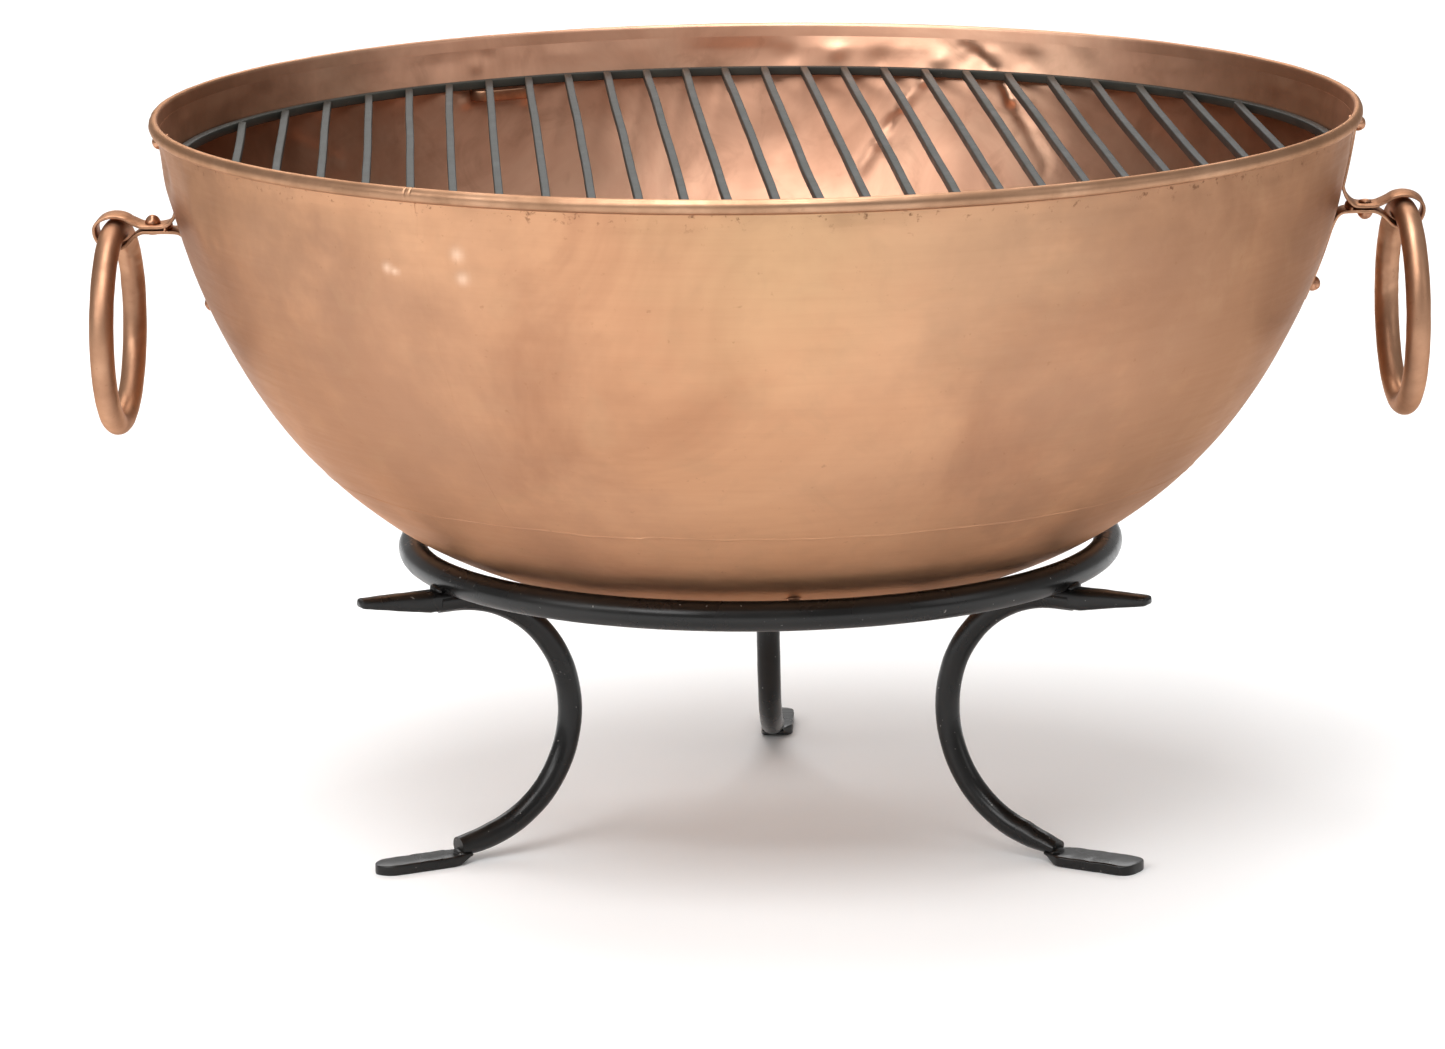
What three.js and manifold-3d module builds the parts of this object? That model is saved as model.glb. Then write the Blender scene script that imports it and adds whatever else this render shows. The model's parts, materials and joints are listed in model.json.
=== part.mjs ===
// Copper fire bowl on a three-legged stand, with a lift-out grate and two ring handles.
// Millimetres, +Z up. The origin is on the floor, on the axis of the bowl, and +X runs to the right handle.
import * as THREE from 'three';
import { mergeVertices } from 'three/addons/utils/BufferGeometryUtils.js';
import Module from 'manifold-3d';

const wasm = await Module();
wasm.setup();

// ---------------------------------------------------------------- driving dimensions
const FIT_GAP = 0.3; // clearance between pieces that touch
const AROUND = 48; // facets round every large circle, one of them facing +X
const HALF_FACET = Math.PI / AROUND;
const FLAT = Math.cos(HALF_FACET); // distance to the middle of a facet, over the radius of its corners

const RIM = { radius: 396, top: 482.6, beadWidth: 8.4, beadHeight: 9.4, beadSheet: 1.2, wireRadius: 2.4 };
const BOWL = { top: 472.8, bottom: 164, topRadius: 390.8, taper: 44, heightPower: 2.2, sidePower: 3 };
const SHEET = 2; // copper sheet of the bowl
const SEAM_HEIGHT = 253; // joint between the base dish and the wall
const WALL_SEAMS = [120, 240, 352.5]; // azimuths of the upright joints, degrees
const WALL_STEPS = 8;
const BASE_STEPS = 7;

const RING = { radius: 230, tube: 9.7, height: 191 };
const LEG = {
  bar: 8, bendRadius: 82, bendX: 225, bendHeight: 94.5, lowTurn: 266, endX: 226, endHeight: 11,
  spurRootFrom: 219, spurRootTo: 245, spurTip: 293, spurNose: 2, spurTop: 184.5,
  spurTipThick: 6, spurRootThick: 14, spurWidth: 13,
  footHeel: 221, footFlare: 12, footTip: 285, footThick: 7,
};
// Azimuth in degrees, width of the flattened foot, and how far the foot stands to one side of its bar.
const LEGS = {
  rear: { azimuth: 90, footWidth: 22, footShift: -2.5 },
  left: { azimuth: 210, footWidth: 22, footShift: 0 },
  right: { azimuth: 330, footWidth: 28, footShift: 0 },
};
const SEATS = [37.5, 157.5, 277.5]; // azimuths of the rivets that sit on the ring, degrees

const RIVET = { head: 5.25, headHeight: 4.4, shank: 2.6, tail: 4.6, tailHeight: 1.8, clear: 0.45, sides: 10 };
const DRILL_LENGTH = 20;
const STRAP = { width: 25, thick: 2.2, top: 472, bend: 421, lowBend: 396, bottom: 349 };
const STRAP_RIVETS = { low: 358, neck: 398, neckGrip: 6.2 };
// The brackets are set by hand at slightly different heights: lift moves all of each but its top end.
const BRACKETS = {
  right: { azimuth: 0, lift: 4.2, topRivet: 467.3 },
  left: { azimuth: 180, lift: -5, topRivet: 460 },
};
const EYE = { x: 423, height: 407.6, bore: 11.75, openAngle: 40 };
const BRAZE = { x: 388.5, height: 407.8, radius: 3.4 };
const HANDLE = { radius: 64, bar: 8, pivotHeight: 405.7 };

const GRATE = { outer: 383, bar: 6, top: 453, bars: 25, pitch: 28.35, turn: 5.2 };
const REST = { azimuths: [0, 120, 240], height: 9, thick: 2.5, width: 46, inner: 372, corner: 9 };

// ---------------------------------------------------------------- materials
const copper = new THREE.MeshStandardMaterial({ color: 0xc08a68, roughness: 0.42, metalness: 1 });
const brightCopper = new THREE.MeshStandardMaterial({ color: 0xb87348, roughness: 0.32, metalness: 1 });
const blackPaint = new THREE.MeshStandardMaterial({ color: 0x34312e, roughness: 0.45, metalness: 0.2 });
const greyIron = new THREE.MeshStandardMaterial({ color: 0x55564f, roughness: 0.6, metalness: 0.4 });

// ---------------------------------------------------------------- helpers
const radians = THREE.MathUtils.degToRad;
const point = (x, y) => new THREE.Vector2(x, y);

// A closed body as a manifold solid: shared corners are merged and triangles without area are left out.
function toSolid(geometry) {
  geometry.deleteAttribute('normal');
  geometry.deleteAttribute('uv');
  const merged = mergeVertices(geometry, 1e-4);
  const index = merged.index.array;
  const triangles = [];
  for (let i = 0; i < index.length; i += 3) {
    const [a, b, c] = index.slice(i, i + 3);
    if (a !== b && b !== c && c !== a) triangles.push(a, b, c);
  }
  const mesh = new wasm.Mesh({
    numProp: 3,
    vertProperties: new Float32Array(merged.attributes.position.array),
    triVerts: new Uint32Array(triangles),
  });
  return new wasm.Manifold(mesh);
}

function toGeometry(solid) {
  const mesh = solid.getMesh();
  const geometry = new THREE.BufferGeometry();
  geometry.setAttribute('position', new THREE.BufferAttribute(mesh.vertProperties, mesh.numProp));
  geometry.setIndex(new THREE.BufferAttribute(mesh.triVerts, 1));
  return geometry;
}

// Turns an outline of (radius, height) points, anticlockwise, about Z. One facet faces +X.
function turned(outline, sides = AROUND) {
  const geometry = new THREE.LatheGeometry(outline, sides, Math.PI / sides);
  return geometry.rotateX(Math.PI / 2);
}

// A ring of round bar about Z.
function roundRing(radius, tube, around = AROUND, sides = 12) {
  return new THREE.TorusGeometry(radius, tube, sides, around).rotateZ(Math.PI / around);
}

// Stands an outline of (radius, height) points up in the XZ plane, with its thickness across Y.
function standing(outline, width) {
  const geometry = new THREE.ExtrudeGeometry(new THREE.Shape(outline), { depth: width, bevelEnabled: false });
  return geometry.translate(0, 0, -width / 2).rotateX(Math.PI / 2);
}

// A flat plate of a plan outline, from one height up.
function plate(outline, base, thick) {
  const geometry = new THREE.ExtrudeGeometry(new THREE.Shape(outline), { depth: thick, bevelEnabled: false });
  return geometry.translate(0, 0, base);
}

function arc(x, y, radius, from, to, steps) {
  const points = [];
  for (let i = 0; i <= steps; i += 1) {
    const angle = radians(from + ((to - from) * i) / steps);
    points.push(point(x + radius * Math.cos(angle), y + radius * Math.sin(angle)));
  }
  return points;
}

// The outline of a strip of even thickness that follows a line of points.
function strip(line, thick) {
  const left = [];
  const right = [];
  line.forEach((here, i) => {
    const before = line[Math.max(i - 1, 0)];
    const after = line[Math.min(i + 1, line.length - 1)];
    const along = after.clone().sub(before).normalize();
    const across = point(-along.y, along.x).multiplyScalar(thick / 2);
    left.push(here.clone().add(across));
    right.unshift(here.clone().sub(across));
  });
  return [...right, ...left];
}

function place(group, name, geometry, material) {
  const mesh = new THREE.Mesh(geometry, material);
  mesh.name = name;
  group.add(mesh);
  return mesh;
}

// ---------------------------------------------------------------- shape of the bowl
function bowlRadius(height) {
  const drop = (BOWL.top - height) / (BOWL.top - BOWL.bottom);
  const side = Math.max(1 - drop ** BOWL.heightPower, 0) ** (1 / BOWL.sidePower);
  return (BOWL.topRadius - BOWL.taper * drop) * side;
}

// Outward direction of the sheet in the (radius, height) plane.
function bowlNormal(height) {
  if (height <= BOWL.bottom) return point(0, -1);
  const step = 0.01;
  const high = Math.min(height + step, BOWL.top);
  const slope = (bowlRadius(high) - bowlRadius(height - step)) / (high - height + step);
  return point(1, -slope).normalize();
}

// Points of the bowl's section, moved inwards by a depth.
function bowlLine(heights, depth) {
  return heights.map((height) => {
    const onSheet = point(bowlRadius(height), height).sub(bowlNormal(height).multiplyScalar(depth));
    return point(height <= BOWL.bottom ? 0 : onSheet.x, onSheet.y);
  });
}

const wallHeights = [];
for (let i = 0; i <= WALL_STEPS; i += 1) {
  wallHeights.push(SEAM_HEIGHT + ((BOWL.top - SEAM_HEIGHT) * i) / WALL_STEPS);
}
const baseHeights = [];
for (let i = 0; i <= BASE_STEPS; i += 1) {
  baseHeights.push(BOWL.bottom + (SEAM_HEIGHT - FIT_GAP - BOWL.bottom) * (i / BASE_STEPS) ** 3);
}

// The middle of a facet at a height: a point on the outside of the sheet, and the way out from it.
const corners = [...baseHeights, ...wallHeights];
function facetAt(height) {
  const above = Math.max(corners.findIndex((corner) => corner >= height), 1);
  const [low, high] = [corners[above - 1], corners[above]].map((z) => point(bowlRadius(z) * FLAT, z));
  const at = low.clone().lerp(high, (height - low.y) / (high.y - low.y));
  const along = high.sub(low).normalize();
  return { at, normal: point(along.y, -along.x) };
}

function offFacet(height, outwards) {
  const { at, normal } = facetAt(height);
  return at.add(normal.multiplyScalar(outwards));
}

function sheetSolid(heights) {
  const outline = [...bowlLine(heights, 0), ...bowlLine(heights, SHEET).reverse()];
  if (outline[0].x > 0) outline.push(outline[0].clone());
  return toSolid(turned(outline));
}

// All the space inside the wall, a little clear of it.
function wallInside() {
  const side = bowlLine(wallHeights, SHEET + FIT_GAP);
  return toSolid(turned([point(0, side[0].y), ...side, point(0, side[side.length - 1].y)]));
}

// ---------------------------------------------------------------- rivets
// A rivet along +Z: its head bears on z = 0 and its tail on z = -grip.
function rivetGeometry(grip, headHeight = RIVET.headHeight) {
  const under = -grip - RIVET.clear;
  const outline = [
    point(0, under - RIVET.tailHeight),
    point(RIVET.tail * 0.7, under - RIVET.tailHeight),
    point(RIVET.tail, under),
    point(RIVET.shank, under),
    point(RIVET.shank, RIVET.clear),
    point(RIVET.head, RIVET.clear),
    point(RIVET.head * 0.87, headHeight * 0.55),
    point(RIVET.head * 0.5, headHeight * 0.9),
    point(0, headHeight),
  ];
  return turned(outline, RIVET.sides);
}

function rivetHole() {
  const radius = RIVET.shank + FIT_GAP;
  return new THREE.CylinderGeometry(radius, radius, DRILL_LENGTH, RIVET.sides).rotateX(Math.PI / 2);
}

// Lays a piece made along +Z on a direction in the (radius, height) plane, then turns it round the bowl.
function aim(geometry, { at, normal }, azimuth, outwards = 0) {
  geometry.translate(0, 0, outwards).rotateY(Math.atan2(normal.x, normal.y)).translate(at.x, 0, at.y);
  return geometry.rotateZ(radians(azimuth));
}

// The point of the base dish that is nearest to the middle of the ring's bar.
function nearestToRing() {
  const middle = point(RING.radius * FLAT, RING.height);
  let best = facetAt(BOWL.bottom + 10);
  for (let height = BOWL.bottom + 10; height < SEAM_HEIGHT; height += 0.2) {
    const candidate = facetAt(height);
    if (candidate.at.distanceTo(middle) < best.at.distanceTo(middle)) best = candidate;
  }
  return { ...best, gap: best.at.distanceTo(middle) - RING.tube };
}
const seat = nearestToRing();

// ---------------------------------------------------------------- bowl
function wallPanels() {
  let wall = sheetSolid(wallHeights);
  for (const bracket of Object.values(BRACKETS)) {
    for (const height of [bracket.topRivet, STRAP_RIVETS.low + bracket.lift]) {
      wall = wall.subtract(toSolid(aim(rivetHole(), facetAt(height), bracket.azimuth)));
    }
  }
  const far = RIM.radius * 4;
  const height = BOWL.top - SEAM_HEIGHT + 20;
  return WALL_SEAMS.map((from, i) => {
    const to = WALL_SEAMS[(i + 1) % WALL_SEAMS.length] + (i === WALL_SEAMS.length - 1 ? 360 : 0);
    const middle = radians((from + to) / 2);
    const back = FIT_GAP / 2 / Math.sin(radians((to - from) / 2));
    const tip = point(back * Math.cos(middle), back * Math.sin(middle));
    const corner = (angle) => point(far * Math.cos(angle), far * Math.sin(angle)).add(tip);
    const wedge = [tip, corner(radians(from)), corner(middle), corner(radians(to))];
    return toGeometry(wall.intersect(toSolid(plate(wedge, SEAM_HEIGHT - 10, height))));
  });
}

function baseDish() {
  let dish = sheetSolid(baseHeights);
  for (const azimuth of SEATS) dish = dish.subtract(toSolid(aim(rivetHole(), seat, azimuth)));
  return toGeometry(dish);
}

const beadMiddle = point(RIM.radius - RIM.beadWidth / 2, RIM.top - RIM.beadHeight / 2);

// The sheet rolled round the wire, open below, over the top edge of the wall.
function rimBead() {
  const section = (inwards, from, to, steps) => arc(0, 0, 1, from, to, steps).map((p) => point(
    beadMiddle.x + p.x * (RIM.beadWidth / 2 - inwards),
    beadMiddle.y + p.y * (RIM.beadHeight / 2 - inwards),
  ));
  const outer = section(0, -90, 230, 9);
  const inner = section(RIM.beadSheet, 230, -90, 7);
  return turned([...outer, ...inner, outer[0].clone()]);
}

function grateRest(azimuth) {
  const half = REST.width / 2;
  const bend = half - REST.corner;
  const loop = [
    point(RIM.radius, -half),
    ...arc(REST.inner + REST.corner, -bend, REST.corner, 270, 180, 5),
    ...arc(REST.inner + REST.corner, bend, REST.corner, 180, 90, 5),
    point(RIM.radius, half),
  ];
  const top = GRATE.top - GRATE.bar - FIT_GAP;
  const geometry = plate(strip(loop, REST.thick), top - REST.height, REST.height);
  return toGeometry(toSolid(geometry.rotateZ(radians(azimuth))).intersect(wallInside()));
}

// ---------------------------------------------------------------- handle brackets
// The middle line of the strip: down the wall, out over the handle, round it, back and down the wall again.
function strapLine(lift) {
  const off = FIT_GAP + STRAP.thick / 2;
  const shares = [0, 0.25, 0.5, 0.75, 1];
  const downWall = (from, to) => shares.map((share) => offFacet(from + (to - from) * share, off));
  const upper = downWall(STRAP.top, STRAP.bend + lift);
  const lower = downWall(STRAP.lowBend + lift, STRAP.bottom + lift);
  const upperWall = upper[4].x;
  const lowerWall = lower[0].x;
  const out = new THREE.SplineCurve([
    upper[4], point(upperWall + 2.7, 415.6 + lift), point(upperWall + 6.5, 411 + lift),
    point(392.5, 409.4 + lift), point(398, 409.3 + lift), point(404.5, 409.5 + lift),
    point(409.8, 412.4 + lift),
  ]);
  const back = new THREE.SplineCurve([
    point(409.8, 402.8 + lift), point(404.5, 405.7 + lift), point(398, 405.9 + lift),
    point(lowerWall + 14, 406 + lift), point(lowerWall + 7, 405.2 + lift),
    point(lowerWall + 3.1, 401.6 + lift), lower[0],
  ]);
  const eyeEnd = 180 - EYE.openAngle;
  const eye = arc(EYE.x, EYE.height + lift, EYE.bore + STRAP.thick / 2, eyeEnd, -eyeEnd, 14);
  return [...upper.slice(0, 4), ...out.getPoints(10), ...eye, ...back.getPoints(10), ...lower.slice(1)];
}

function bracketStrap({ lift, topRivet }) {
  let strap = toSolid(standing(strip(strapLine(lift), STRAP.thick), STRAP.width));
  const fillet = new THREE.CylinderGeometry(BRAZE.radius, BRAZE.radius, STRAP.width - 2, 8);
  strap = strap.add(toSolid(fillet.translate(BRAZE.x, 0, BRAZE.height + lift)));
  for (const height of [topRivet, STRAP_RIVETS.low + lift]) {
    strap = strap.subtract(toSolid(aim(rivetHole(), facetAt(height), 0)));
  }
  strap = strap.subtract(toSolid(rivetHole().translate(STRAP_RIVETS.neck, 0, EYE.height + lift)));
  return toGeometry(strap);
}

// ---------------------------------------------------------------- stand
function legGeometry({ footWidth, footShift }) {
  const turn = arc(LEG.bendX, LEG.bendHeight, LEG.bendRadius, LEG.lowTurn, 90, 14);
  const line = [point(LEG.endX, LEG.endHeight), ...turn, point(LEG.spurRootTo - LEG.bar, turn[14].y)];
  const path = new THREE.CatmullRomCurve3(line.map((p) => new THREE.Vector3(p.x, 0, p.y)));
  const section = new THREE.Shape().absarc(0, 0, LEG.bar, 0, Math.PI * 2);
  const bar = new THREE.ExtrudeGeometry(section, { steps: 17, curveSegments: 8, extrudePath: path });

  const half = footWidth / 2;
  const flat = plate([
    point(LEG.footHeel, -LEG.bar), point(LEG.footHeel + LEG.footFlare, -half),
    ...arc(LEG.footTip - half, 0, half, -90, 90, 8),
    point(LEG.footHeel + LEG.footFlare, half), point(LEG.footHeel, LEG.bar),
  ], 0, LEG.footThick);
  const foot = flat.translate(0, footShift, 0);

  const top = LEG.spurTop;
  const spur = standing([
    point(LEG.spurRootFrom, top - LEG.spurRootThick), point(LEG.spurRootTo, top - LEG.spurRootThick),
    point(LEG.spurTip - LEG.spurNose, top - LEG.spurTipThick), point(LEG.spurTip, top - LEG.spurTipThick / 2),
    point(LEG.spurTip - LEG.spurNose, top), point(LEG.spurRootFrom, top),
  ], LEG.spurWidth);

  const saddle = roundRing(RING.radius, RING.tube + FIT_GAP).translate(0, 0, RING.height);
  return toGeometry(toSolid(bar).add(toSolid(foot)).add(toSolid(spur)).subtract(toSolid(saddle)));
}

// ---------------------------------------------------------------- grate
function grateBar(x) {
  const reach = (GRATE.outer - GRATE.bar) * FLAT - FIT_GAP;
  const left = x - GRATE.bar / 2;
  const right = x + GRATE.bar / 2;
  const leftEnd = Math.sqrt(reach ** 2 - left ** 2);
  const rightEnd = Math.sqrt(reach ** 2 - right ** 2);
  const near = [point(left, -leftEnd), point(right, -rightEnd)];
  const far = [point(right, rightEnd), point(left, leftEnd)];
  return plate([...near, ...far], GRATE.top - GRATE.bar, GRATE.bar);
}

function grateRing() {
  const low = GRATE.top - GRATE.bar;
  const inner = GRATE.outer - GRATE.bar;
  const bottom = [point(inner, low), point(GRATE.outer, low)];
  const top = [point(GRATE.outer, GRATE.top), point(inner, GRATE.top)];
  return turned([...bottom, ...top, point(inner, low)]);
}

// ---------------------------------------------------------------- assembly
const firePit = new THREE.Group();

const stand = new THREE.Group();
firePit.add(stand);
place(stand, 'stand_ring', roundRing(RING.radius, RING.tube), blackPaint).position.z = RING.height;
for (const [side, leg] of Object.entries(LEGS)) {
  place(stand, `leg_${side}`, legGeometry(leg), blackPaint).rotation.z = radians(leg.azimuth);
}

const bowl = new THREE.Group();
firePit.add(bowl);
place(bowl, 'bowl_base', baseDish(), copper);
wallPanels().forEach((geometry, i) => place(bowl, `bowl_wall_${i + 1}`, geometry, copper));
place(bowl, 'rim_bead', rimBead(), copper);
const wire = place(bowl, 'rim_wire', roundRing(beadMiddle.x, RIM.wireRadius, AROUND, 6), greyIron);
wire.position.z = beadMiddle.y;
SEATS.forEach((azimuth, i) => {
  const rivet = rivetGeometry(SHEET, seat.gap - FIT_GAP);
  place(bowl, `seat_rivet_${i + 1}`, aim(rivet, seat, azimuth), brightCopper);
});
REST.azimuths.forEach((azimuth, i) => place(bowl, `grate_rest_${i + 1}`, grateRest(azimuth), copper));

for (const [side, setting] of Object.entries(BRACKETS)) {
  const bracket = new THREE.Group();
  bracket.rotation.z = radians(setting.azimuth);
  bowl.add(bracket);
  place(bracket, `bracket_strap_${side}`, bracketStrap(setting), brightCopper);
  for (const [where, height] of [['top', setting.topRivet], ['low', STRAP_RIVETS.low + setting.lift]]) {
    const through = STRAP.thick + FIT_GAP;
    const rivet = aim(rivetGeometry(SHEET + through), facetAt(height), 0, through);
    place(bracket, `${where}_rivet_${side}`, rivet, brightCopper);
  }
  // The neck rivet has its head below on the right bracket and above on the left one.
  const neck = rivetGeometry(STRAP_RIVETS.neckGrip).translate(0, 0, STRAP_RIVETS.neckGrip / 2);
  if (side === 'right') neck.rotateX(Math.PI);
  neck.translate(STRAP_RIVETS.neck, 0, EYE.height + setting.lift);
  place(bracket, `neck_rivet_${side}`, neck, brightCopper);

  const handle = new THREE.TorusGeometry(HANDLE.radius, HANDLE.bar, 8, 30).rotateY(Math.PI / 2);
  const ring = place(bracket, `ring_handle_${side}`, handle, brightCopper);
  ring.position.set(EYE.x, 0, HANDLE.pivotHeight + setting.lift - HANDLE.radius);
}

const grate = new THREE.Group();
grate.rotation.z = radians(GRATE.turn);
firePit.add(grate);
place(grate, 'grate_ring', grateRing(), greyIron);
for (let i = 0; i < GRATE.bars; i += 1) {
  const name = `grate_bar_${String(i + 1).padStart(2, '0')}`;
  place(grate, name, grateBar((i - (GRATE.bars - 1) / 2) * GRATE.pitch), greyIron);
}

export default firePit;
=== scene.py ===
import json
import math

import bmesh
import bpy
import numpy as np
from mathutils import Matrix, Vector, noise


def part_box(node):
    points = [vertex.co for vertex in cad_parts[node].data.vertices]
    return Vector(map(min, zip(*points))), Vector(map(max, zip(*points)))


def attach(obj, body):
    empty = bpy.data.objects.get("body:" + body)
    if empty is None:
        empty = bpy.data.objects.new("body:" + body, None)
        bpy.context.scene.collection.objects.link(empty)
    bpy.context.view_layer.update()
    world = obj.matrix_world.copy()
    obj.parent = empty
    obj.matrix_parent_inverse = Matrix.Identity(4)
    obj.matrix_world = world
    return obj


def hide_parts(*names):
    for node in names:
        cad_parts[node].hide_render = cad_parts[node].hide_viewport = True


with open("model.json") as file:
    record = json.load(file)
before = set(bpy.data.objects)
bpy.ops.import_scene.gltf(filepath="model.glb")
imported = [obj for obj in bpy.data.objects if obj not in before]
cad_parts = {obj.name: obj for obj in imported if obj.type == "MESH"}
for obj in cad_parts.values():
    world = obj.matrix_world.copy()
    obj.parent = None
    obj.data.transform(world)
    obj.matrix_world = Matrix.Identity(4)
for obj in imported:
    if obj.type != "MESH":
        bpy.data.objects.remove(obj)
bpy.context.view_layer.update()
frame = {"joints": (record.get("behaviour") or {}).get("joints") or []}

MM = 0.001
CAD_FLATS = 48  # flat sides in a full round of the CAD
FACET = math.cos(math.pi / CAD_FLATS)  # distance to a flat's middle, as a share of the radius


# ---- sizes, from the frame
def low(node):
    """The lowest corner of a CAD node's box."""
    return np.array(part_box(node)[0]) / MM


def high(node):
    """The highest corner of a CAD node's box."""
    return np.array(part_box(node)[1]) / MM


RIM_TOP = high("rim_bead")[2]
RIM_RADIUS = high("rim_bead")[1] / FACET
BEAD_HEIGHT = RIM_TOP - low("rim_bead")[2]
BEAD_WIDTH = 8.4
WALL_TOP = high("bowl_wall_1")[2]
WALL_FOOT = low("bowl_wall_1")[2]
BOWL_BOTTOM = low("bowl_base")[2]
BOWL_TOP_RADIUS = 390.8
BOWL_TAPER = 44  # how much narrower the cone that the bowl is rounded from is at the bottom
SHEET = 2.0
SEAMS = (120.0, 240.0, 352.5)  # azimuths in degrees, as all azimuths in these tables

RING_TUBE = (high("stand_ring")[2] - low("stand_ring")[2]) / 2
RING_HEIGHT = (high("stand_ring")[2] + low("stand_ring")[2]) / 2
RING_RADIUS = high("stand_ring")[1] / FACET - RING_TUBE
LEG_BAR = 8.0
# Width and sideways shift of the foot, how square its tip is, and how far the bar's end is drawn down.
LEGS = {
    "rear": {"azimuth": 90, "width": 22, "shift": -2.5, "square": 2.6, "drawn": 0.5},
    "left": {"azimuth": 210, "width": 22, "shift": 0, "square": 2.0, "drawn": 0.4},
    "right": {"azimuth": 330, "width": 28, "shift": 0, "square": 3.4, "drawn": 0.85},
}

GRATE_TOP = high("grate_ring")[2]
GRATE_BAR = GRATE_TOP - low("grate_ring")[2]
GRATE_RADIUS = 383.0
GRATE_BARS = 25
GRATE_PITCH = 28.35
GRATE_TURN = 5.2  # degrees round +Z

HANDLE_BAR = 8.0
HANDLE_RADIUS = (high("ring_handle_right")[2] - low("ring_handle_right")[2]) / 2 - HANDLE_BAR
PIVOTS = {j["child"]: np.array(j["pos_m"]) / MM for j in frame["joints"] if j["type"] == "hinge"}
STRAP_WIDTH = high("bracket_strap_right")[1] - low("bracket_strap_right")[1]
STRAP_THICK = 2.2
SIDES = {"right": 0.0, "left": 180.0}
LEVEL_PIVOT = 405.7  # height of the pivot of a bracket that isn't lifted
LIFTS = {side: PIVOTS[f"handle_{side}"][2] - LEVEL_PIVOT for side in SIDES}
TOP_RIVETS = {"right": 467.3, "left": 460.0}
LOW_RIVET = 358
YAWS = {"right": 5.7, "left": -2.5}  # each ring handle hangs a little askew
SEATS = (37.5, 157.5, 277.5)  # rivets that the bowl sits on
SEAT_HEIGHT = 198.0
RESTS = (0, 120, 240)  # strips that the grate lies on


# ---- small helpers
def bumps(points, scale, seed):
    """Smooth noise from -1 to 1 at each point, in lumps of about that many millimetres."""
    shift = Vector((seed * 17.3, seed * 5.9, seed * 11.1))
    flat = points.reshape(-1, 3)
    values = [noise.noise(Vector(p) / scale + shift) for p in flat]
    return np.array(values).reshape(points.shape[:-1])


def turn_z(points, degrees):
    """Points turned about +Z."""
    angle = math.radians(degrees)
    c, s = math.cos(angle), math.sin(angle)
    matrix = np.array([[c, -s, 0], [s, c, 0], [0, 0, 1]])
    return points @ matrix.T


def circle(count):
    """Angles evenly round a full turn."""
    return np.linspace(0, 2 * math.pi, count, endpoint=False)


def grid_faces(rows, count, close_rows, close_count):
    """Quads of a grid of points, which may close on itself either way."""
    i = np.arange(rows if close_rows else rows - 1)[:, None]
    j = np.arange(count if close_count else count - 1)[None, :]
    next_i = (i + 1) % rows
    next_j = (j + 1) % count
    quads = [i * count + j, i * count + next_j, next_i * count + next_j, next_i * count + j]
    return np.stack(quads, -1).reshape(-1, 4).tolist()


def loft(rings, closed=False):
    """A skin over rings of points. An open one gets a flat cap at each end."""
    rings = np.asarray(rings)
    rows, count, _ = rings.shape
    faces = grid_faces(rows, count, closed, True)
    if not closed:
        faces.append(list(range(count)))
        faces.append(list(range((rows - 1) * count, rows * count)))
    return rings.reshape(-1, 3), faces


def add_piece(name, shape, material, body, stands_for=(), sharp=50):
    """A visible piece from points and faces. Edges sharper than that many degrees stay crisp."""
    points, faces = shape
    mesh = bpy.data.meshes.new(name)
    mesh.from_pydata((np.asarray(points) * MM).tolist(), [], faces)
    work = bmesh.new()
    work.from_mesh(mesh)
    bmesh.ops.recalc_face_normals(work, faces=work.faces)
    work.to_mesh(mesh)
    work.free()
    mesh.shade_smooth()
    mesh.set_sharp_from_angle(angle=math.radians(sharp))
    mesh.materials.append(material)
    piece = bpy.data.objects.new(name, mesh)
    bpy.context.scene.collection.objects.link(piece)
    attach(piece, body)
    if stands_for:
        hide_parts(*stands_for)
    return piece


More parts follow.
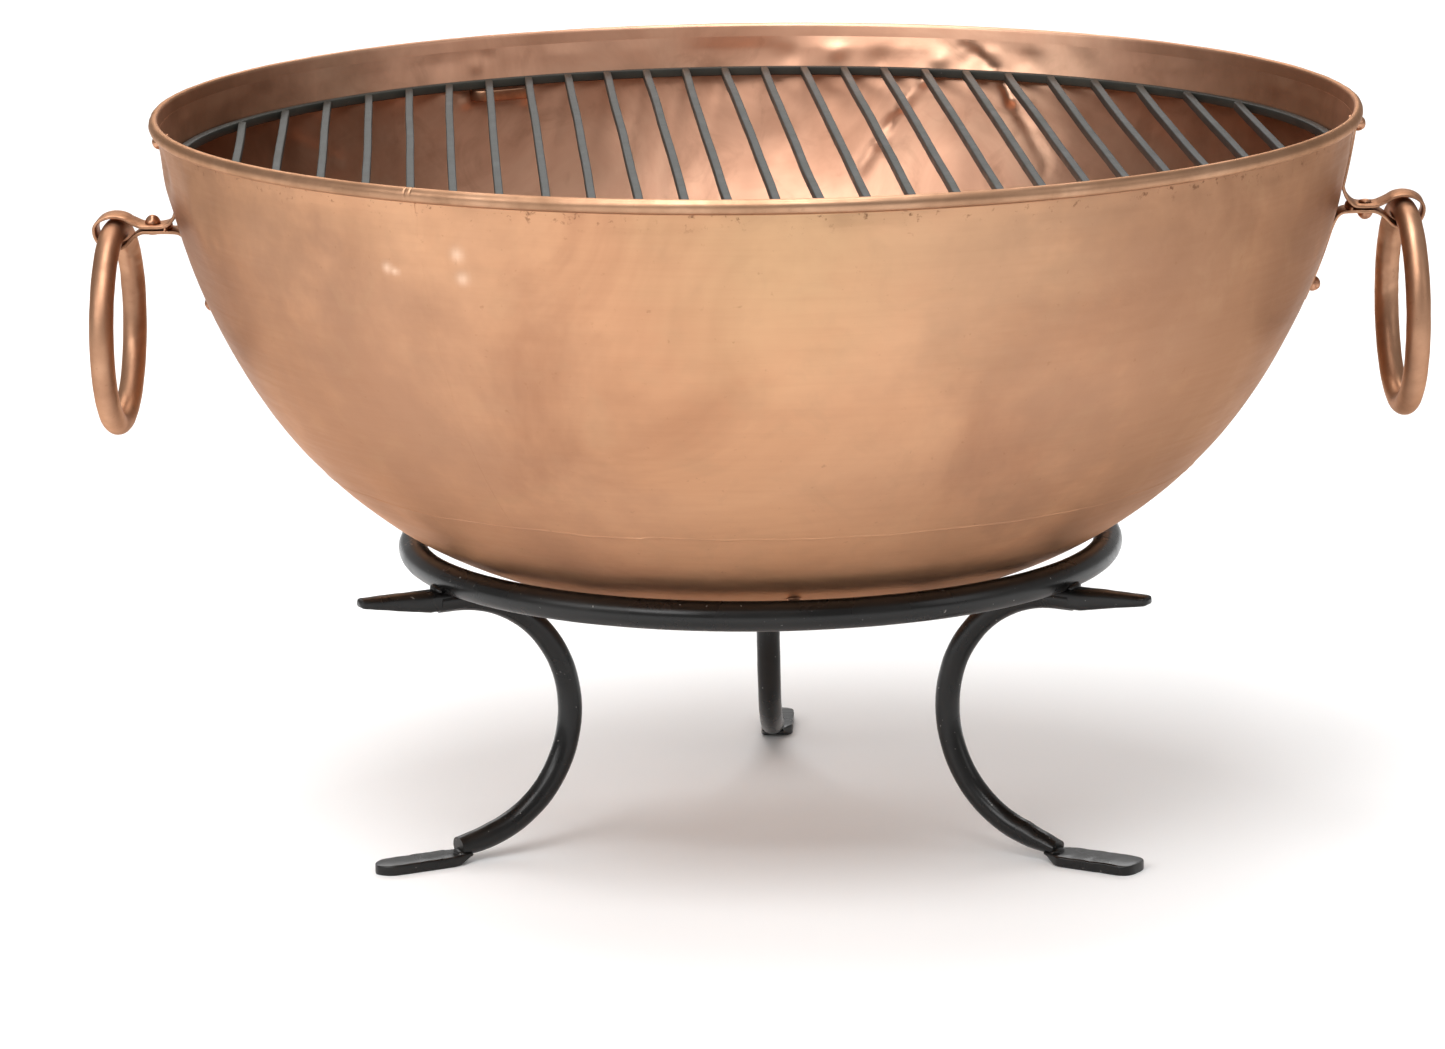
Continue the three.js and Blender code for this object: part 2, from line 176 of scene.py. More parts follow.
# ---- material helpers
class Nodes:
    """Short calls for building one material's nodes."""

    def __init__(self, name):
        self.material = bpy.data.materials.new(name)
        self.material.use_nodes = True
        self.tree = self.material.node_tree
        self.shader = self.tree.nodes["Principled BSDF"]
        self.coordinates = self.add("ShaderNodeTexCoord").outputs["Object"]

    def add(self, kind, **settings):
        node = self.tree.nodes.new(kind)
        for key, value in settings.items():
            setattr(node, key, value)
        return node

    def link(self, value, socket):
        if isinstance(value, bpy.types.NodeSocket):
            self.tree.links.new(value, socket)
        else:
            socket.default_value = value

    def stretch(self, x, y, z):
        """Coordinates in which a noise is squeezed by that much along each axis."""
        node = self.add("ShaderNodeMapping")
        self.link(self.coordinates, node.inputs["Vector"])
        node.inputs["Scale"].default_value = (x, y, z)
        return node.outputs["Vector"]

    def cloud(self, scale, detail=3.0, rough=0.55, vector=None, distortion=0.0):
        node = self.add("ShaderNodeTexNoise")
        self.link(vector or self.coordinates, node.inputs["Vector"])
        node.inputs["Scale"].default_value = scale
        node.inputs["Detail"].default_value = detail
        node.inputs["Roughness"].default_value = rough
        node.inputs["Distortion"].default_value = distortion
        return node.outputs["Fac"]

    def ramp(self, value, *stops):
        """A value or colour from a list of (place, value) stops."""
        node = self.add("ShaderNodeValToRGB")
        self.link(value, node.inputs["Fac"])
        elements = node.color_ramp.elements
        while len(elements) < len(stops):
            elements.new(0.5)
        for element, (place, colour) in zip(elements, stops):
            element.position = place
            if not isinstance(colour, tuple):
                colour = (colour, colour, colour)
            element.color = (*colour, 1.0)
        return node.outputs["Color"]

    def mix(self, share, first, second, blend="MIX"):
        node = self.add("ShaderNodeMix", data_type="RGBA", blend_type=blend)
        self.link(share, node.inputs["Factor"])
        for value, socket in ((first, node.inputs[6]), (second, node.inputs[7])):
            self.link((*value, 1.0) if isinstance(value, tuple) else value, socket)
        return node.outputs[2]

    def tint(self, tone, mask, start, end, strength, colour):
        """The tone with another colour mixed in where a mask rises from start to end."""
        return self.mix(self.ramp(mask, (start, 0.0), (end, strength)), tone, colour)

    def math(self, operation, first, second):
        node = self.add("ShaderNodeMath", operation=operation)
        self.link(first, node.inputs[0])
        self.link(second, node.inputs[1])
        return node.outputs[0]

    def bump(self, height, distance, strength, below=None):
        node = self.add("ShaderNodeBump")
        self.link(height, node.inputs["Height"])
        node.inputs["Distance"].default_value = distance * MM
        node.inputs["Strength"].default_value = strength
        if below is not None:
            self.link(below, node.inputs["Normal"])
        return node.outputs["Normal"]

    def tone_patches(self, tone, patches):
        """Ragged clouds of other tones: each a middle, a reach, a strength and a colour."""
        edges = self.cloud(16, 4.0, 0.65)
        for centre, reach, strength, colour in patches:
            away = self.add("ShaderNodeVectorMath", operation="DISTANCE")
            self.link(self.coordinates, away.inputs[0])
            away.inputs[1].default_value = centre
            wander = self.math("MULTIPLY", self.math("SUBTRACT", edges, 0.5), reach)
            ragged = self.math("ADD", away.outputs["Value"], wander)
            nearness = self.math("SUBTRACT", 1.0, self.math("DIVIDE", ragged, reach))
            share = self.math("MULTIPLY", self.ramp(nearness, (0.0, 0.0), (0.8, 1.0)), strength)
            tone = self.mix(share, tone, colour)
        return tone

    def satin(self, streaks, clouds, low, high, dull):
        """Roughness that goes with the brushing, and rises by dull in the darker clouds."""
        shine = self.ramp(streaks, (0.3, low), (0.7, high))
        return self.mix(1.0, shine, self.ramp(clouds, (0.3, dull), (0.6, 0.0)), blend="ADD")

    def inner_face(self):
        """How much a point is on the bowl's inner face, and the clouds and the tone of that face. That tone
        is painted light and shade: the inner face's own copy of the copper tones, darkened by painted shade
        on its sides and front.
        """
        share = self.add("ShaderNodeAttribute", attribute_name="inside").outputs["Fac"]
        clouds = self.cloud(7, 5.0, 0.65, distortion=1.0)
        return share, clouds, self.tone_patches(self.ramp(clouds, *INNER_LIT_TONES), INNER_PAINTED_SHADE)

    def finish(self, colour, roughness, normal, metallic, edge=(1, 1, 1)):
        """The finished material. edge is the tone of its reflection at a glancing angle."""
        self.link(colour, self.shader.inputs["Base Color"])
        self.link(roughness, self.shader.inputs["Roughness"])
        self.link(normal, self.shader.inputs["Normal"])
        self.shader.inputs["Metallic"].default_value = metallic
        self.shader.inputs["Specular Tint"].default_value = (*edge, 1)
        return self.material


# ---- materials
COPPER_EDGE = (0.78, 0.61, 0.52)
BOWL_LIGHT, BOWL_MIDDLE, BOWL_DARK = (0.59, 0.33, 0.19), (0.53, 0.287, 0.162), (0.40, 0.20, 0.112)
SMEAR, SPECK = (0.40, 0.24, 0.14), (0.25, 0.12, 0.06)
# The second tone is a painted highlight on the knocked-out marks.
CRUST, MARK_HIGHLIGHT = (0.13, 0.055, 0.03), (0.93, 0.68, 0.52)
# Painted light: the inner face has its own copy of the copper tones, set to how bright the inside is lit.
INNER_LIT_TONES = ((0.30, (0.50, 0.27, 0.175)), (0.50, (0.62, 0.35, 0.235)), (0.72, (0.72, 0.44, 0.30)))
INNER_SMEAR = (0.24, 0.11, 0.06)
INNER_ROUGHNESS = 0.42
CRUST_FOOT, CRUST_GAIN = 0.460, 80  # height in metres where the crust under the rim starts, gain over it
BARE_IRON = (0.30, 0.28, 0.26)

# Clouds of older patina and of painted shade, outside and inside: middle and reach in metres, strength and
# colour. Outside, the large dark ones at the left, right and low on the bowl are painted shade, and the small
# ones under the rim at the left are patina; inside, they are painted shade on the inner sides and front.
PATINA_AND_SHADE = (
    ((0.37, -0.14, 0.38), 0.28, 0.90, (0.235, 0.130, 0.084)),
    ((0.28, -0.26, 0.38), 0.20, 0.85, (0.31, 0.165, 0.098)),
    ((0.20, -0.30, 0.26), 0.20, 0.50, (0.40, 0.215, 0.135)),
    ((0.33, -0.20, 0.24), 0.20, 0.65, (0.32, 0.185, 0.115)),
    ((-0.24, -0.27, 0.34), 0.20, 0.85, (0.31, 0.165, 0.102)),
    ((-0.37, -0.10, 0.38), 0.22, 0.90, (0.25, 0.142, 0.098)),
    ((-0.28, -0.22, 0.24), 0.20, 0.60, (0.36, 0.20, 0.125)),
    ((-0.35, -0.18, 0.455), 0.05, 0.60, (0.26, 0.145, 0.09)),
    ((-0.30, -0.25, 0.450), 0.05, 0.35, (0.34, 0.19, 0.115)),
    ((0.14, -0.36, 0.45), 0.12, 0.40, (0.42, 0.26, 0.16)),
    ((0.02, -0.37, 0.45), 0.10, 0.45, (0.50, 0.33, 0.18)),
    ((-0.10, -0.26, 0.20), 0.13, 0.35, (0.42, 0.22, 0.145)),
    ((0.25, 0.30, 0.35), 0.22, 0.50, (0.34, 0.20, 0.125)),
    ((-0.20, 0.34, 0.30), 0.20, 0.45, (0.42, 0.235, 0.145)),
    ((-0.38, 0.12, 0.43), 0.14, 0.40, (0.46, 0.30, 0.18)),
)
# Painted shade on the inner face: darker clouds on its left and right sides near the top and on its front.
INNER_PAINTED_SHADE = (
    ((-0.34, 0.10, 0.46), 0.24, 0.85, (0.26, 0.14, 0.085)),
    ((0.34, 0.14, 0.46), 0.22, 0.80, (0.28, 0.15, 0.09)),
    ((0.00, -0.38, 0.44), 0.30, 0.50, (0.40, 0.22, 0.14)),
)


def copper(name, light, middle, dark, roughness, brushed, blotch, inside=False):
    """Satin copper: clouds of patina, fine brushing, small beaten marks and dull specks."""
    n = Nodes(name)
    clouds = n.cloud(blotch, 4.0, 0.6, distortion=0.6)
    tone = n.ramp(clouds, (0.28, dark), (0.52, middle), (0.74, light))
    streaks = n.cloud(90, 5.0, 0.7)
    tone = n.tint(tone, streaks, 0.40, 0.80, 0.20, dark)
    specks = n.cloud(260, 2.0, 0.5)
    tone = n.tint(tone, specks, 0.66, 0.76, 0.35, dark)
    rough = n.satin(streaks, clouds, roughness - 0.05, roughness + 0.06, 0.10)
    # The rim's inner face takes the painted light and shade of the bowl's inner face.
    if inside:
        share, _, inner_tone = n.inner_face()
        tone = n.mix(share, tone, inner_tone)
        rough = n.mix(share, rough, (INNER_ROUGHNESS,) * 3)
    grain = n.bump(streaks, 0.04 * brushed, 0.4)
    beaten = n.bump(n.cloud(70, 2.0, 0.5), 0.25, 0.3, below=grain)
    return n.finish(tone, rough, beaten, 1.0, COPPER_EDGE)


def bowl_skin(name):
    """The bowl's sheet: beaten, cloudy and brushed, with painted shade among its patina clouds, its own
    painted light and shade inside, and a painted highlight on the knocked-out marks.
    """
    n = Nodes(name)
    clouds = n.cloud(5.5, 5.0, 0.62, distortion=0.8)
    tone = n.ramp(clouds, (0.30, BOWL_DARK), (0.48, BOWL_MIDDLE), (0.70, BOWL_LIGHT))
    # Painted shade: dark clouds at the left, right and low on the bowl, with a few patina smudges under the
    # rim.
    tone = n.tone_patches(tone, PATINA_AND_SHADE)
    streaks = n.cloud(1.0, 5.0, 0.7, vector=n.stretch(10, 10, 260))
    tone = n.tint(tone, streaks, 0.45, 0.85, 0.12, BOWL_DARK)
    smears = n.cloud(24, 4.0, 0.6, distortion=1.2)
    tone = n.tint(tone, smears, 0.52, 0.70, 0.24, SMEAR)
    specks = n.cloud(210, 2.0, 0.5)
    tone = n.tint(tone, specks, 0.70, 0.80, 0.35, SPECK)

    split = n.add("ShaderNodeSeparateXYZ")
    n.link(n.coordinates, split.inputs[0])
    above_foot = n.math("SUBTRACT", split.outputs["Z"], CRUST_FOOT)
    below_rim = n.ramp(n.math("MULTIPLY", above_foot, CRUST_GAIN), (0.0, 0.0), (0.9, 1.0))
    crust = n.math("MULTIPLY", below_rim, n.ramp(n.cloud(150, 3.0, 0.7), (0.60, 0.0), (0.70, 0.8)))
    tone = n.mix(crust, tone, CRUST)

    # Painted highlight: a light tone on the upper part of each knocked-out mark.
    lightened = n.add("ShaderNodeAttribute", attribute_name="lightened").outputs["Fac"]
    tone = n.mix(n.math("MULTIPLY", lightened, 0.42), tone, MARK_HIGHLIGHT)
    # The inner face takes its painted light and shade.
    inside, stain, inner_tone = n.inner_face()
    inner_tone = n.tint(inner_tone, smears, 0.55, 0.75, 0.35, INNER_SMEAR)
    tone = n.mix(inside, tone, inner_tone)

    rough = n.satin(streaks, clouds, 0.33, 0.42, 0.08)
    rough = n.mix(inside, rough, n.ramp(stain, (0.3, 0.46), (0.7, 0.38)))
    grain = n.bump(streaks, 0.03, 0.35)
    beaten = n.bump(n.cloud(60, 3.0, 0.5), 0.30, 0.35, below=grain)
    return n.finish(tone, rough, beaten, 1.0, COPPER_EDGE)


def black_paint(name, colour, lightened, roughness, gloss, chip=0.72, tone_patches=()):
    """Brushed-on paint over forged bar: soft lumps, dusty patches and chips, fewer for a higher chip."""
    n = Nodes(name)
    patches = n.cloud(22, 4.0, 0.6)
    tone = n.ramp(patches, (0.40, colour), (0.80, lightened))
    tone = n.tone_patches(tone, tone_patches)
    specks = n.cloud(330, 2.0, 0.5)
    tone = n.tint(tone, specks, chip, chip + 0.04, 0.7, BARE_IRON)
    rough = n.ramp(patches, (0.3, roughness - 0.05), (0.7, roughness + 0.10))
    lumps = n.bump(n.cloud(55, 3.0, 0.5), 0.35, 0.30)
    fine = n.bump(n.cloud(600, 2.0, 0.6), 0.03, 0.4, below=lumps)
    n.shader.inputs["Specular IOR Level"].default_value = gloss
    return n.finish(tone, rough, fine, 0.0)


bowl_copper = bowl_skin("bowl_copper")
rim_copper = copper(
    "rim_copper", light=(0.50, 0.30, 0.19), middle=(0.40, 0.23, 0.14), dark=(0.26, 0.145, 0.085),
    roughness=0.40, brushed=0.4, blotch=14, inside=True)
fitting_copper = copper(
    "fitting_copper", light=(0.58, 0.34, 0.21), middle=(0.46, 0.25, 0.15), dark=(0.25, 0.13, 0.075),
    roughness=0.35, brushed=0.5, blotch=30)
rest_copper = copper(
    "rest_copper", light=(0.40, 0.23, 0.145), middle=(0.30, 0.165, 0.10), dark=(0.18, 0.09, 0.055),
    roughness=0.42, brushed=0.5, blotch=30)
rivet_copper = copper(
    "rivet_copper", light=(0.58, 0.32, 0.20), middle=(0.47, 0.245, 0.15), dark=(0.29, 0.14, 0.085),
    roughness=0.31, brushed=0.3, blotch=60)
handle_copper = copper(
    "handle_copper", light=(0.52, 0.30, 0.19), middle=(0.42, 0.23, 0.14), dark=(0.25, 0.13, 0.078),
    roughness=0.42, brushed=0.4, blotch=12)
stand_paint = black_paint(
    "stand_paint", colour=(0.0045, 0.0042, 0.0040), lightened=(0.011, 0.010, 0.0092), roughness=0.27, gloss=0.34)
# A darker tone patch lies over the right half of the grate.
grate_paint = black_paint(
    "grate_paint", colour=(0.018, 0.0185, 0.0158), lightened=(0.038, 0.038, 0.031), roughness=0.52, gloss=0.22,
    chip=0.78, tone_patches=[((0.34, 0.0, 0.43), 0.34, 0.75, (0.008, 0.0065, 0.005))])


# ---- shape of the bowl
def bowl_radius(height):
    """Radius of the outer face: a cone whose side is rounded in to nothing at the bottom."""
    drop = (WALL_TOP - height) / (WALL_TOP - BOWL_BOTTOM)
    side = np.clip(1 - np.clip(drop, 0, 1) ** 2.2, 0, None) ** (1 / 3)
    return (BOWL_TOP_RADIUS - BOWL_TAPER * drop) * side


def bowl_slope(height):
    """Gain of radius for each millimetre of height."""
    step = 0.05
    above = np.minimum(height + step, WALL_TOP)
    below = np.maximum(height - step, BOWL_BOTTOM)
    return (bowl_radius(above) - bowl_radius(below)) / (above - below)


def bowl_point(azimuth, height, outwards=0.0):
    """Points of the outer face, moved out along the normal. Azimuths are in radians."""
    slope = bowl_slope(height)
    length = np.sqrt(1 + slope**2)
    radius = bowl_radius(height) + outwards / length
    up = height - outwards * slope / length
    return np.stack([radius * np.cos(azimuth), radius * np.sin(azimuth), up + 0 * azimuth], -1)


WALL_STEP = math.radians(0.4)  # between the points round the bowl
WAVES = ((1.1, 85, 1), (0.42, 34, 2), (0.12, 14, 3))  # height, width and seed of the beaten waves
RIM_CALM = 8.0  # the sheet evens out over this height below its top
# Bumps (+) and dents (-) in the sheet: azimuth, height, width and depth.
DENTS = (
    (231, 446, 20, -0.9), (235.5, 440, 24, 0.7), (240.5, 450, 22, -0.8), (248.5, 449, 22, 0.7),
    (256, 441, 26, -0.7), (262, 455, 22, 0.6), (222, 440, 26, -0.8), (214, 425, 26, 0.8),
    (208, 447, 16, -1.4), (204, 430, 20, 1.2), (193, 455, 12, -1.6), (189, 441, 14, 1.2),
    (246, 405, 30, 0.8), (275, 447, 26, -0.6),
    (83.2, 463, 7, -1.4), (88.4, 459, 8, 1), (78.5, 456, 9, 1.1), (72.1, 458, 6, -1.4),
    (68.7, 459, 7, 1.2), (66.5, 464, 8, -1), (62, 460, 9, 0.8), (76.2, 416, 22, -1.4),
    (84, 428, 16, 1), (90, 400, 20, 1), (96, 440, 15, 0.9), (70, 398, 18, 1),
    (62, 436, 14, -0.8), (56, 415, 18, 0.8), (45, 440, 22, -1), (30, 420, 24, 0.9),
    (124.2, 437.3, 4, -1.4), (117.1, 437, 4, -1.4), (120.9, 470, 6, 0.8), (122.5, 462, 5, -0.8),
    (108, 420, 20, 0.9), (112, 395, 20, -0.9), (132, 430, 20, 0.9), (147.7, 422, 13, 0.7),
    (144, 402, 14, -0.7), (151, 410, 12, -0.5), (160, 435, 18, 0.8), (356, 440, 16, -0.9),
    (310, 452, 20, 0.7), (330, 430, 26, -0.8), (340, 380, 28, 0.8), (300, 330, 36, 0.9),
    (220, 330, 32, 1), (255, 300, 32, -0.9), (0, 300, 32, 0.8), (180, 420, 22, 0.8),
)
# Small marks knocked outwards, given the same way.
MARKS = (
    (236, 429, 4, 1.1), (243.9, 441.5, 5, 1.1), (244.2, 426.5, 4.6, 1.3), (236.9, 427, 2.6, 0.5),
)
MARK_LENGTHENED = 1.4  # how much longer a mark is above its middle than below
# Creases: two ends, each an azimuth and a height, then width and depth.
CREASES = (
    (73.6, 444, 76.5, 420, 3.6, -1.5), (76.5, 420, 78.0, 404, 3.2, 1.3), (78.0, 404, 80.1, 382, 4.2, -1.5),
    (69.4, 470, 65.2, 450, 4.0, 1.4), (65.2, 450, 63.6, 433, 3.6, -1.6), (63.6, 433, 58.3, 388, 4.0, -0.8),
    (61.8, 428, 56.6, 390, 3.6, 0.4), (142, 410, 148, 428, 4.0, 0.5), (239.6, 472, 239.9, 452, 1.6, 0.5),
)


def offset(azimuth, height, where, up):
    """Distances round the bowl and up it from one spot."""
    turn = np.angle(np.exp(1j * (azimuth - math.radians(where))))
    return bowl_radius(height) * turn, height - up


def relief(azimuth, height):
    """How far the beaten sheet stands out from the true bowl."""
    points = bowl_point(azimuth, height)
    waves = sum(tall * bumps(points, wide, seed) for tall, wide, seed in WAVES)
    near_rim = np.clip((height - 380) / 80, 0, 1)
    waves = waves * (0.6 + 0.7 * near_rim) + 0.30 * near_rim * bumps(points, 24, 4)
    for where, up, width, depth in DENTS:
        across, above = offset(azimuth, height, where, up)
        waves = waves + depth * np.exp(-(across**2 + above**2) / width**2)
    for where, up, width, depth in MARKS:
        across, above = offset(azimuth, height, where, up)
        above = np.where(above > 0, above / MARK_LENGTHENED, above)
        waves = waves + depth * np.exp(-(across**2 + above**2) / width**2)
    ragged = bumps(points, 7, 5)
    for start, high_end, end, low_end, width, depth in CREASES:
        x0, y0 = offset(azimuth, height, start, high_end)
        run_x, run_y = bowl_radius(height) * math.radians(end - start), low_end - high_end
        share = np.clip((x0 * run_x + y0 * run_y) / (run_x**2 + run_y**2), 0, 1)
        distance = (x0 - share * run_x) ** 2 + (y0 - share * run_y) ** 2
        waves = waves + depth * (1 + 0.9 * ragged) * np.exp(-distance / width**2)
    edge = np.clip((WALL_TOP - height) / RIM_CALM, 0, 1)
    return waves * edge


def sheet(azimuths, heights, closed):
    """A curved sheet of even thickness over a range of azimuths and heights."""
    azimuth, height = np.meshgrid(azimuths, heights)
    out = relief(azimuth, height)
    outer = bowl_point(azimuth, height, out)
    inner = bowl_point(azimuth, height, out - SHEET)
    rows, count = azimuth.shape
    skin = np.concatenate([outer, inner[::-1]])
    faces = grid_faces(2 * rows, count, True, closed)
    if not closed:
        for j in (0, count - 1):
            edge = [i * count + j for i in range(rows)]
            back = [(2 * rows - 1 - i) * count + j for i in range(rows)]
            faces += [[edge[i], edge[i + 1], back[i + 1], back[i]] for i in range(rows - 1)]
    return skin.reshape(-1, 3), faces


def mark_faces(piece):
    """Stores in attributes what is inner face, the second half of the points, and where the painted highlight
    on the knocked-out marks lies.
    """
    count = len(piece.data.vertices)
    inside = np.repeat([0.0, 1.0], [count // 2, count - count // 2])
    x, y, z = np.array([vertex.co for vertex in piece.data.vertices]).T / MM
    azimuth = np.arctan2(y, x)
    lightened = np.zeros(count)
    for where, up, width, _ in MARKS:
        # The painted highlight lies on the upper part of each mark, where it catches the light.
        across, above = offset(azimuth, z, where, up + 1.0)
        lightened += np.exp(-(across**2 + above**2) / (0.8 * width) ** 2)
    for name, values in (("inside", inside), ("lightened", lightened * (1 - inside))):
        layer = piece.data.attributes.new(name, "FLOAT", "POINT")
        layer.data.foreach_set("value", values)


def make_wall():
    """Three panels, with the points closer together near the rim."""
    heights = np.concatenate([np.linspace(WALL_FOOT, 398, 36), np.linspace(400, WALL_TOP, 42)])
    for number, start in enumerate(SEAMS):
        end = SEAMS[(number + 1) % 3] + (360 if number == 2 else 0)
        steps = round(math.radians(end - start) / WALL_STEP)
        shape = sheet(np.radians(np.linspace(start, end, steps + 1)), heights, closed=False)
        panel = add_piece(f"wall_panel_{number + 1}", shape, bowl_copper, "bowl",
                          [f"bowl_wall_{number + 1}"])
        mark_faces(panel)


def make_base():
    """The dish, with its points closer together at the bottom, and a disc that closes its middle."""
    shares = np.linspace(0.02, 1, 40)
    heights = BOWL_BOTTOM + (WALL_FOOT - BOWL_BOTTOM) * shares**3
    azimuths = np.arange(0, 2 * math.pi, WALL_STEP * 2)
    dish = sheet(azimuths, heights, closed=True)
    mark_faces(add_piece("base_dish", dish, bowl_copper, "bowl", ["bowl_base"]))
    bottom = np.full(len(azimuths), heights[0])
    disc = loft([bowl_point(azimuths, bottom, 0.0), bowl_point(azimuths, bottom, -SHEET)])
    add_piece("base_middle", disc, bowl_copper, "bowl")


def seam_line(middle, half, proud):
    """A low ridge over a joint, as (place, height) points, with its feet in the sheet."""
    foot, skin = -0.4, 0.02
    return [(middle - half, foot), (middle - half, skin), (middle, proud), (middle + half, skin),
            (middle + half, foot)]


def make_seams():
    """Thin brazed lines: one round the base dish, and one down each joint of the wall."""
    azimuths = np.arange(0, 2 * math.pi, WALL_STEP)
    spots = np.stack([np.cos(azimuths), np.sin(azimuths), 0 * azimuths], -1)
    height = WALL_FOOT + 1.6 * bumps(spots, 1 / 5, 30) + 0.7 * bumps(spots, 1 / 17, 31)
    half = 0.9 + 0.5 * bumps(spots, 1 / 30, 32)
    proud = 0.35 + 0.3 * bumps(spots, 1 / 22, 33)
    line = seam_line(height, half, proud)
    rings = [bowl_point(azimuths, up, relief(azimuths, up) + out) for up, out in line]
    add_piece("base_seam", loft(np.stack(rings, 1), closed=True), bowl_copper, "bowl")

    heights = np.linspace(WALL_TOP - 0.5, WALL_FOOT + 2, 130)
    for number, seam in enumerate(SEAMS):
        spots = np.stack([0 * heights + seam, heights / 30, 0 * heights + 1], -1)
        half = (0.7 + 0.3 * bumps(spots, 1 / 3, 34)) / BOWL_TOP_RADIUS
        near_top = np.clip(1 - (WALL_TOP - heights) / 22, 0, 1)
        proud = 0.08 + 0.06 * bumps(spots, 1 / 2, 35) + 0.5 * near_top
        middle = math.radians(seam) + 1.2 / BOWL_TOP_RADIUS * bumps(spots, 1, 36)
        line = seam_line(middle, half, proud)
        rings = [bowl_point(turn, heights, relief(turn, heights) + out) for turn, out in line]
        add_piece(f"wall_seam_{number + 1}", loft(np.stack(rings, 1)), bowl_copper, "bowl")


RIM_JOINT = 239.6  # azimuth where the two ends of the rolled edge meet
RIM_GROOVES = (2.4, -1.8)  # small grooves on each side of that joint
GROOVE_DEPTH, GROOVE_HALF = 0.32, 0.6


def make_rim():
    """The sheet's edge rolled outwards over the wire, with its lip tucked in below."""
    middle = RIM_RADIUS - BEAD_WIDTH / 2
    centre = RIM_TOP - BEAD_HEIGHT / 2
    roll = [(middle + BEAD_WIDTH / 2 * math.cos(a), centre + BEAD_HEIGHT / 2 * math.sin(a))
            for a in np.radians(np.linspace(75, -112, 22))]
    inner = float(bowl_radius(WALL_TOP)) - SHEET
    lean = 0.14  # the inner face carries on up the lean of the wall
    soft = 2.6
    corner = [(inner + lean * 7 + soft - soft * math.cos(a), RIM_TOP - soft + soft * math.sin(a))
              for a in np.radians(np.linspace(0, 80, 7))]
    section = [(inner, WALL_TOP - 1.0), (inner + lean * 4, WALL_TOP + 4), *corner, *roll,
               (inner + SHEET + 0.9, WALL_TOP + 0.9), (inner + SHEET + 0.1, WALL_TOP - 0.2)]
    joint = math.radians(RIM_JOINT)
    close = [joint + across / RIM_RADIUS for across in np.linspace(-7, 7, 43)]
    regular = [a for a in np.arange(0, 2 * math.pi, WALL_STEP) if abs(a - joint) > 8 / RIM_RADIUS]
    rings = []
    for azimuth in sorted(regular + close):
        x, y = math.cos(azimuth), math.sin(azimuth)
        spot = Vector((x * 6, y * 6, 0))
        from_joint = (azimuth - joint) * RIM_RADIUS
        grooves = [math.exp(-(((from_joint - place) / GROOVE_HALF) ** 2)) for place in RIM_GROOVES]
        notch = GROOVE_DEPTH * sum(grooves)
        swell = 0.30 * noise.noise(spot) + 0.22 * noise.noise(spot * 4) + 0.10 * noise.noise(spot * 11)
        ring = []
        for radius, height in section:
            share = min(max((height - WALL_TOP) / 3, 0), 1) * min(max((radius - inner) / 3, 0), 1)
            out = (swell - notch) * share
            ring.append(((radius + out) * x, (radius + out) * y, height + min(out, 0) * 0.6 * share))
        rings.append(ring)
    rim = add_piece("rolled_rim", loft(rings, closed=True), rim_copper, "bowl",
                    ["rim_bead", "rim_wire"])
    # Marks the rim's inner face, which takes the painted light and shade of the bowl's inner face.
    inside = [min(max((inner + 3.2 - radius) / 1.6, 0), 1) for radius, _ in section]
    layer = rim.data.attributes.new("inside", "FLOAT", "POINT")
    layer.data.foreach_set("value", inside * len(rings))


# ---- bar and strip sections
def round_section(radius, count):
    angles = circle(count)
    return np.stack([radius * np.cos(angles), radius * np.sin(angles)], -1)


def soft_rectangle(width, height, corner, steps=3):
    """A rectangle with rounded corners, as (across, up) points."""
    points = []
    for cx, cy, start in ((1, 1, 0), (-1, 1, 90), (-1, -1, 180), (1, -1, 270)):
        for a in np.radians(np.linspace(start, start + 90, steps + 1)):
            x = cx * (width / 2 - corner) + corner * math.cos(a)
            y = cy * (height / 2 - corner) + corner * math.sin(a)
            points.append((x, y))
    return np.array(points)


def sweep(line, sections, sideways):
    """Rings of sections set square to a line of points. sideways is the sections' across direction."""
    line = np.asarray(line, float)
    before = np.concatenate([line[:1], line[:-1]])
    after = np.concatenate([line[1:], line[-1:]])
    along = after - before
    along /= np.linalg.norm(along, axis=1)[:, None]
    across = np.broadcast_to(np.asarray(sideways, float), line.shape)
    up = np.cross(along, across)
    up /= np.linalg.norm(up, axis=1)[:, None]
    return [p + s[:, :1] * a + s[:, 1:] * u for p, s, a, u in zip(line, sections, across, up)]


def wavy_ring(radius, tube, count, sides, unevenness, seed):
    """A ring of round bar about Z whose bar is a little uneven."""
    rings = []
    for azimuth in circle(count):
        x, y = math.cos(azimuth), math.sin(azimuth)
        spot = Vector((x * 3 + seed, y * 3, seed))
        swell = 1 + unevenness * noise.noise(spot * 2)
        shift = unevenness * tube * 0.8 * noise.noise(spot)
        section = round_section(tube * swell, sides)
        rings.append([((radius + shift + a) * x, (radius + shift + a) * y, b) for a, b in section])
    return np.array(rings)


# ---- stand
def make_stand_ring():
    rings = wavy_ring(RING_RADIUS, RING_TUBE, count=240, sides=24, unevenness=0.012, seed=3)
    rings[..., 2] += RING_HEIGHT
    add_piece("ring_bar", loft(rings, closed=True), stand_paint, "stand", ["stand_ring"])


